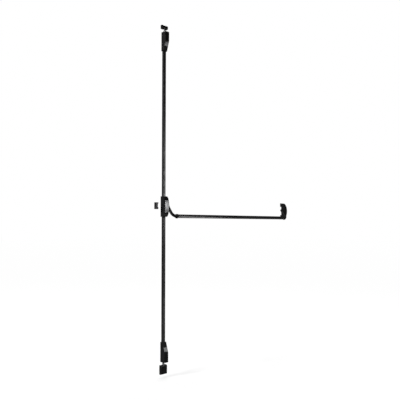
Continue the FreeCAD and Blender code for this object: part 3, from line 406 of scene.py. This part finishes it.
# Camera, solved from the photograph: place in metres, angles in degrees, lens and sensor in millimetres
CAMERA_PLACE = (-2.0823, -2.4921, -0.1172)
CAMERA_YAW = 43.94
CAMERA_PITCH = 2.79
CAMERA_LENS = 47.37
SENSOR_WIDTH = 36
NEAREST_SEEN = 0.05
FARTHEST_SEEN = 200


def aim(item, target):
    item.rotation_euler = (Vector(target) - item.location).to_track_quat("-Z", "Y").to_euler()


def make_camera():
    camera = add_object("camera", bpy.data.cameras.new("camera"))
    camera.location = CAMERA_PLACE
    camera.data.lens = CAMERA_LENS
    camera.data.sensor_width = SENSOR_WIDTH
    yaw = math.radians(CAMERA_YAW)
    pitch = math.radians(CAMERA_PITCH)
    ahead = Vector((math.sin(yaw) * math.cos(pitch), math.cos(yaw) * math.cos(pitch), math.sin(pitch)))
    aim(camera, camera.location + ahead)
    camera.data.clip_start = NEAREST_SEEN
    camera.data.clip_end = FARTHEST_SEEN
    bpy.context.scene.camera = camera


# Floor: its place and size in metres, its grey, how white the camera and a mirror see it,
# and about how the lamps light it, from a middle outwards
FLOOR_DROP = 0.02
FLOOR_SIZE = 60
FLOOR_COLOUR = 0.3
FLOOR_ROUGHNESS = 0.9
FLOOR_GLOW = 0.975
FLOOR_MIRRORED = 0.05
LIT_MIDDLE = (-0.3, 0, 0)
LIT_LEVEL = 0.33
LIT_REACH = 2.3


def calculation(tree, operation, first, second):
    """The result of an operation on two node outputs or numbers."""
    step = tree.nodes.new("ShaderNodeMath")
    step.operation = operation
    for socket, source in zip(step.inputs, (first, second)):
        if isinstance(source, (int, float)):
            socket.default_value = source
        else:
            link(tree, source, socket)
    return step.outputs[0]


def mirrored_rays(tree, path):
    return calculation(tree, "MAXIMUM", path.outputs["Is Glossy Ray"], path.outputs["Is Transmission Ray"])


def lit_share(tree):
    """About how much the lamps add to the floor's brightness, falling off from below them."""
    where = tree.nodes.new("ShaderNodeTexCoord")
    away = tree.nodes.new("ShaderNodeVectorMath")
    away.operation = "DISTANCE"
    away.inputs[1].default_value = LIT_MIDDLE
    link(tree, where.outputs["Object"], away.inputs[0])
    reach = calculation(tree, "DIVIDE", away.outputs["Value"], LIT_REACH)
    fall = calculation(tree, "ADD", calculation(tree, "MULTIPLY", reach, reach), 1.0)
    return calculation(tree, "DIVIDE", LIT_LEVEL, fall)


def make_floor():
    """A pale floor that the camera sees as even white, with the object's soft shadow."""
    bpy.ops.mesh.primitive_plane_add(size=FLOOR_SIZE, location=(0, 0, FOOT - FLOOR_DROP))
    floor = bpy.context.object
    floor.name = "floor"
    material, tree, shader = new_material("floor", (FLOOR_COLOUR,) * 3, FLOOR_ROUGHNESS, gloss=0.0)
    shader.inputs["Emission Color"].default_value = WHITE
    path = tree.nodes.new("ShaderNodeLightPath")
    glow = calculation(tree, "SUBTRACT", FLOOR_GLOW, lit_share(tree))
    seen = calculation(tree, "MULTIPLY", path.outputs["Is Camera Ray"], glow)
    mirrored = calculation(tree, "MULTIPLY", mirrored_rays(tree, path), FLOOR_MIRRORED)
    link(tree, calculation(tree, "ADD", seen, mirrored), shader.inputs["Emission Strength"])
    floor.data.materials.append(material)


def make_lamp(name, place, target, size, power):
    """A soft rectangular lamp that the camera doesn't see, in metres and watts."""
    lamp = add_object(name, bpy.data.lights.new(name, "AREA"))
    lamp.location = place
    lamp.visible_camera = False
    lamp.data.shape = "RECTANGLE"
    lamp.data.size, lamp.data.size_y = size
    lamp.data.energy = power
    aim(lamp, target)


# Room: its light on the object, and how bright a glossy surface sees it at the horizon, above
# CEILING_START, and on the side away from BRIGHT_WAY
WORLD_LIGHT = 0.08
HORIZON = 0.6
CEILING = 0.06
CEILING_START = 0.3
BRIGHT_WAY = (-0.7, 0.7, 0)
DIM_SHARE = 0.3


def make_world():
    """White all round for the camera. A glossy surface sees it too, under a darker ceiling
    and dimmer on one side of the room."""
    world = bpy.data.worlds.new("studio")
    world.use_nodes = True
    tree = world.node_tree
    tree.nodes.clear()
    path = tree.nodes.new("ShaderNodeLightPath")
    shown = calculation(tree, "MAXIMUM", path.outputs["Is Camera Ray"], mirrored_rays(tree, path))
    where = tree.nodes.new("ShaderNodeTexCoord")
    split = tree.nodes.new("ShaderNodeSeparateXYZ")
    link(tree, where.outputs["Generated"], split.inputs[0])
    rise = tree.nodes.new("ShaderNodeMapRange")
    rise.interpolation_type = "SMOOTHSTEP"
    rise.inputs["From Min"].default_value = 0.0
    rise.inputs["From Max"].default_value = CEILING_START
    rise.inputs["To Min"].default_value = HORIZON
    rise.inputs["To Max"].default_value = CEILING
    link(tree, split.outputs["Z"], rise.inputs["Value"])
    side = tree.nodes.new("ShaderNodeVectorMath")
    side.operation = "DOT_PRODUCT"
    side.inputs[1].default_value = BRIGHT_WAY
    link(tree, where.outputs["Generated"], side.inputs[0])
    turn = tree.nodes.new("ShaderNodeMapRange")
    turn.inputs["From Min"].default_value = -1.0
    turn.inputs["To Min"].default_value = DIM_SHARE
    link(tree, side.outputs["Value"], turn.inputs["Value"])
    room = calculation(tree, "MULTIPLY", rise.outputs["Result"], turn.outputs["Result"])
    level = calculation(tree, "MAXIMUM", room, path.outputs["Is Camera Ray"])
    light = tree.nodes.new("ShaderNodeBackground")
    light.inputs["Strength"].default_value = WORLD_LIGHT
    backdrop = tree.nodes.new("ShaderNodeBackground")
    for shell in (light, backdrop):
        shell.inputs["Color"].default_value = WHITE
    link(tree, level, backdrop.inputs["Strength"])
    mix = tree.nodes.new("ShaderNodeMixShader")
    out = tree.nodes.new("ShaderNodeOutputWorld")
    link(tree, shown, mix.inputs["Fac"])
    link(tree, light.outputs[0], mix.inputs[1])
    link(tree, backdrop.outputs[0], mix.inputs[2])
    link(tree, mix.outputs[0], out.inputs["Surface"])
    bpy.context.scene.world = world


make_camera()
make_floor()
make_world()
make_lamp("key", place=(-4.0, 0.3, 1.6), target=(0.1, 0, 0.1), size=(1.6, 1.6), power=280)
make_lamp("strip", place=(2.3, -2.7, 0.4), target=(0, 0, 0.2), size=(0.5, 0.9), power=30)
make_lamp("top", place=(0.6, 0.4, 2.3), target=(0.6, 0.1, 0), size=(1.6, 0.6), power=50)
make_lamp("low_card", place=(0.95, -0.5, FOOT + 0.22), target=(0.5, -0.2, 0), size=(0.5, 0.4), power=8)
bpy.context.scene.view_settings.view_transform = "Standard"
